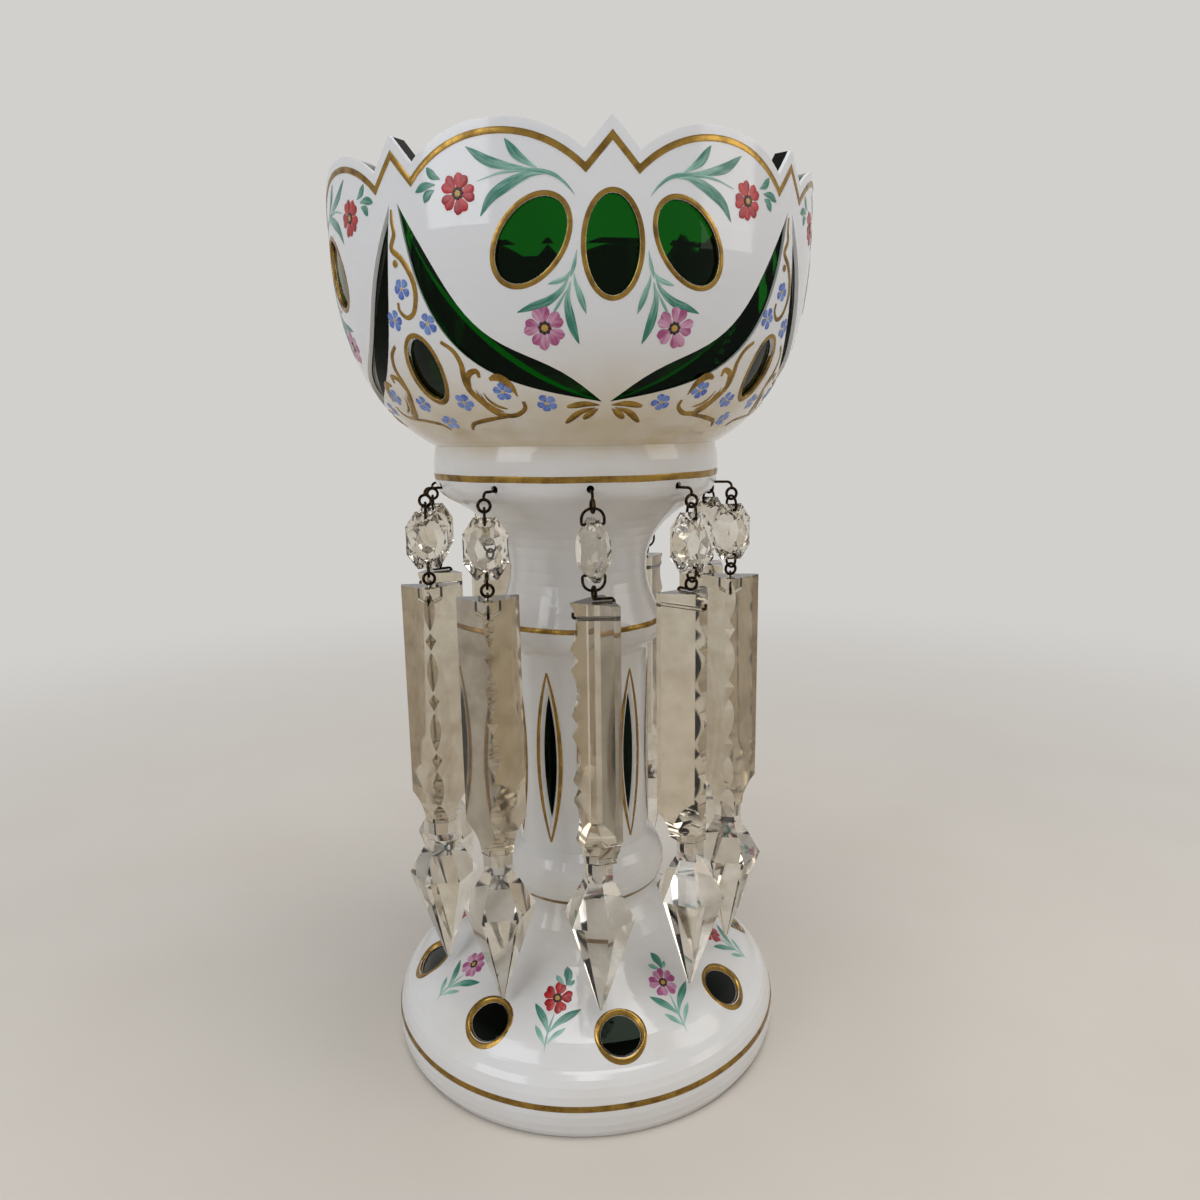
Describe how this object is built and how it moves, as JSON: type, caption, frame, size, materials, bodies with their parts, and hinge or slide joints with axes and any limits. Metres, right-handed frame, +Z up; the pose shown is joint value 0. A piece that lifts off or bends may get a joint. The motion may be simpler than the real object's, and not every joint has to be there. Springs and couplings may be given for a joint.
{
  "type": "mantel lustre",
  "caption": "Footed mantel lustre: a cased glass bowl with a pointed rim on a waisted stem and bell foot, hung all round with octagon beads and spear-ended crystal prisms.",
  "frame": {"origin": "middle of the foot on the surface that it stands on", "axes": "+Z up along the lustre's axis, -Y towards the front that the picture shows, +X to its right"},
  "size_m": [0.1606, 0.1606, 0.305],
  "materials": {
    "white_glass": "polished opaque white casing with painted flowers and gilding",
    "green_glass": "polished deep green glass",
    "crystal": "cut and polished clear crystal",
    "bronzed_wire": "dark tarnished wire"
  },
  "bodies": {
    "glass_body": {"bowl_white_casing": "white_glass", "bowl_green_glass": "green_glass", "stem_white_casing": "white_glass", "stem_green_glass": "green_glass", "foot_white_casing": "white_glass", "foot_green_glass": "green_glass"},
    "hook_1": {"collar_hook_1": "bronzed_wire"},
    "bead_1": {"bead_loops_1": "bronzed_wire", "octagon_bead_1": "crystal"},
    "prism_1": {"prism_link_1": "bronzed_wire", "spear_prism_1": "crystal"},
    "hook_2": {"collar_hook_2": "bronzed_wire"},
    "bead_2": {"bead_loops_2": "bronzed_wire", "octagon_bead_2": "crystal"},
    "prism_2": {"prism_link_2": "bronzed_wire", "spear_prism_2": "crystal"},
    "hook_3": {"collar_hook_3": "bronzed_wire"},
    "bead_3": {"bead_loops_3": "bronzed_wire", "octagon_bead_3": "crystal"},
    "prism_3": {"prism_link_3": "bronzed_wire", "spear_prism_3": "crystal"},
    "hook_4": {"collar_hook_4": "bronzed_wire"},
    "bead_4": {"bead_loops_4": "bronzed_wire", "octagon_bead_4": "crystal"},
    "prism_4": {"prism_link_4": "bronzed_wire", "spear_prism_4": "crystal"},
    "hook_5": {"collar_hook_5": "bronzed_wire"},
    "bead_5": {"bead_loops_5": "bronzed_wire", "octagon_bead_5": "crystal"},
    "prism_5": {"prism_link_5": "bronzed_wire", "spear_prism_5": "crystal"},
    "hook_6": {"collar_hook_6": "bronzed_wire"},
    "bead_6": {"bead_loops_6": "bronzed_wire", "octagon_bead_6": "crystal"},
    "prism_6": {"prism_link_6": "bronzed_wire", "spear_prism_6": "crystal"},
    "hook_7": {"collar_hook_7": "bronzed_wire"},
    "bead_7": {"bead_loops_7": "bronzed_wire", "octagon_bead_7": "crystal"},
    "prism_7": {"prism_link_7": "bronzed_wire", "spear_prism_7": "crystal"},
    "hook_8": {"collar_hook_8": "bronzed_wire"},
    "bead_8": {"bead_loops_8": "bronzed_wire", "octagon_bead_8": "crystal"},
    "prism_8": {"prism_link_8": "bronzed_wire", "spear_prism_8": "crystal"},
    "hook_9": {"collar_hook_9": "bronzed_wire"},
    "bead_9": {"bead_loops_9": "bronzed_wire", "octagon_bead_9": "crystal"},
    "prism_9": {"prism_link_9": "bronzed_wire", "spear_prism_9": "crystal"},
    "hook_10": {"collar_hook_10": "bronzed_wire"},
    "bead_10": {"bead_loops_10": "bronzed_wire", "octagon_bead_10": "crystal"},
    "prism_10": {"prism_link_10": "bronzed_wire", "spear_prism_10": "crystal"}
  },
  "joints": [
    {"name": "hook_sway_1", "type": "hinge", "parent": "glass_body", "child": "hook_1", "pos_m": [-0.02817, -0.04782, 0.2081], "axis": [-0.5075, -0.8616, 0], "range_deg": [-2.5, 2.5]},
    {"name": "bead_swing_1", "type": "hinge", "parent": "hook_1", "child": "bead_1", "pos_m": [-0.02817, -0.04782, 0.2028], "axis": [-0.8616, 0.5075, 0], "range_deg": [-0.4, 30]},
    {"name": "prism_swing_1", "type": "hinge", "parent": "bead_1", "child": "prism_1", "pos_m": [-0.02817, -0.04782, 0.1788], "axis": [-0.8616, 0.5075, 0], "range_deg": [-0.4, 25]},
    {"name": "hook_sway_2", "type": "hinge", "parent": "glass_body", "child": "hook_2", "pos_m": [0.00532, -0.05524, 0.2081], "axis": [0.0958, -0.9954, 0], "range_deg": [-2.5, 2.5]},
    {"name": "bead_swing_2", "type": "hinge", "parent": "hook_2", "child": "bead_2", "pos_m": [0.00532, -0.05524, 0.2028], "axis": [-0.9954, -0.0958, 0], "range_deg": [-0.4, 30]},
    {"name": "prism_swing_2", "type": "hinge", "parent": "bead_2", "child": "prism_2", "pos_m": [0.00532, -0.05524, 0.1788], "axis": [-0.9954, -0.0958, 0], "range_deg": [-0.4, 25]},
    {"name": "hook_sway_3", "type": "hinge", "parent": "glass_body", "child": "hook_3", "pos_m": [0.03678, -0.04157, 0.2081], "axis": [0.6626, -0.749, 0], "range_deg": [-2.5, 2.5]},
    {"name": "bead_swing_3", "type": "hinge", "parent": "hook_3", "child": "bead_3", "pos_m": [0.03678, -0.04157, 0.2028], "axis": [-0.749, -0.6626, 0], "range_deg": [-0.4, 30]},
    {"name": "prism_swing_3", "type": "hinge", "parent": "bead_3", "child": "prism_3", "pos_m": [0.03678, -0.04157, 0.1788], "axis": [-0.749, -0.6626, 0], "range_deg": [-0.4, 25]},
    {"name": "hook_sway_4", "type": "hinge", "parent": "glass_body", "child": "hook_4", "pos_m": [0.05418, -0.01201, 0.2081], "axis": [0.9763, -0.2164, 0], "range_deg": [-2.5, 2.5]},
    {"name": "bead_swing_4", "type": "hinge", "parent": "hook_4", "child": "bead_4", "pos_m": [0.05418, -0.01201, 0.2028], "axis": [-0.2164, -0.9763, 0], "range_deg": [-0.4, 30]},
    {"name": "prism_swing_4", "type": "hinge", "parent": "bead_4", "child": "prism_4", "pos_m": [0.05418, -0.01201, 0.1788], "axis": [-0.2164, -0.9763, 0], "range_deg": [-0.4, 25]},
    {"name": "hook_sway_5", "type": "hinge", "parent": "glass_body", "child": "hook_5", "pos_m": [0.0509, 0.02213, 0.2081], "axis": [0.9171, 0.3987, 0], "range_deg": [-2.5, 2.5]},
    {"name": "bead_swing_5", "type": "hinge", "parent": "hook_5", "child": "bead_5", "pos_m": [0.0509, 0.02213, 0.2028], "axis": [0.3987, -0.9171, 0], "range_deg": [-0.4, 30]},
    {"name": "prism_swing_5", "type": "hinge", "parent": "bead_5", "child": "prism_5", "pos_m": [0.0509, 0.02213, 0.1788], "axis": [0.3987, -0.9171, 0], "range_deg": [-0.4, 25]},
    {"name": "hook_sway_6", "type": "hinge", "parent": "glass_body", "child": "hook_6", "pos_m": [0.02817, 0.04782, 0.2081], "axis": [0.5075, 0.8616, 0], "range_deg": [-2.5, 2.5]},
    {"name": "bead_swing_6", "type": "hinge", "parent": "hook_6", "child": "bead_6", "pos_m": [0.02817, 0.04782, 0.2028], "axis": [0.8616, -0.5075, 0], "range_deg": [-0.4, 30]},
    {"name": "prism_swing_6", "type": "hinge", "parent": "bead_6", "child": "prism_6", "pos_m": [0.02817, 0.04782, 0.1788], "axis": [0.8616, -0.5075, 0], "range_deg": [-0.4, 25]},
    {"name": "hook_sway_7", "type": "hinge", "parent": "glass_body", "child": "hook_7", "pos_m": [-0.00532, 0.05524, 0.2081], "axis": [-0.0958, 0.9954, 0], "range_deg": [-2.5, 2.5]},
    {"name": "bead_swing_7", "type": "hinge", "parent": "hook_7", "child": "bead_7", "pos_m": [-0.00532, 0.05524, 0.2028], "axis": [0.9954, 0.0958, 0], "range_deg": [-0.4, 30]},
    {"name": "prism_swing_7", "type": "hinge", "parent": "bead_7", "child": "prism_7", "pos_m": [-0.00532, 0.05524, 0.1788], "axis": [0.9954, 0.0958, 0], "range_deg": [-0.4, 25]},
    {"name": "hook_sway_8", "type": "hinge", "parent": "glass_body", "child": "hook_8", "pos_m": [-0.03678, 0.04157, 0.2081], "axis": [-0.6626, 0.749, 0], "range_deg": [-2.5, 2.5]},
    {"name": "bead_swing_8", "type": "hinge", "parent": "hook_8", "child": "bead_8", "pos_m": [-0.03678, 0.04157, 0.2028], "axis": [0.749, 0.6626, 0], "range_deg": [-0.4, 30]},
    {"name": "prism_swing_8", "type": "hinge", "parent": "bead_8", "child": "prism_8", "pos_m": [-0.03678, 0.04157, 0.1788], "axis": [0.749, 0.6626, 0], "range_deg": [-0.4, 25]},
    {"name": "hook_sway_9", "type": "hinge", "parent": "glass_body", "child": "hook_9", "pos_m": [-0.05418, 0.01201, 0.2081], "axis": [-0.9763, 0.2164, 0], "range_deg": [-2.5, 2.5]},
    {"name": "bead_swing_9", "type": "hinge", "parent": "hook_9", "child": "bead_9", "pos_m": [-0.05418, 0.01201, 0.2028], "axis": [0.2164, 0.9763, 0], "range_deg": [-0.4, 30]},
    {"name": "prism_swing_9", "type": "hinge", "parent": "bead_9", "child": "prism_9", "pos_m": [-0.05418, 0.01201, 0.1788], "axis": [0.2164, 0.9763, 0], "range_deg": [-0.4, 25]},
    {"name": "hook_sway_10", "type": "hinge", "parent": "glass_body", "child": "hook_10", "pos_m": [-0.0509, -0.02213, 0.2081], "axis": [-0.9171, -0.3987, 0], "range_deg": [-2.5, 2.5]},
    {"name": "bead_swing_10", "type": "hinge", "parent": "hook_10", "child": "bead_10", "pos_m": [-0.0509, -0.02213, 0.2028], "axis": [-0.3987, 0.9171, 0], "range_deg": [-0.4, 30]},
    {"name": "prism_swing_10", "type": "hinge", "parent": "bead_10", "child": "prism_10", "pos_m": [-0.0509, -0.02213, 0.1788], "axis": [-0.3987, 0.9171, 0], "range_deg": [-0.4, 25]}
  ]
}
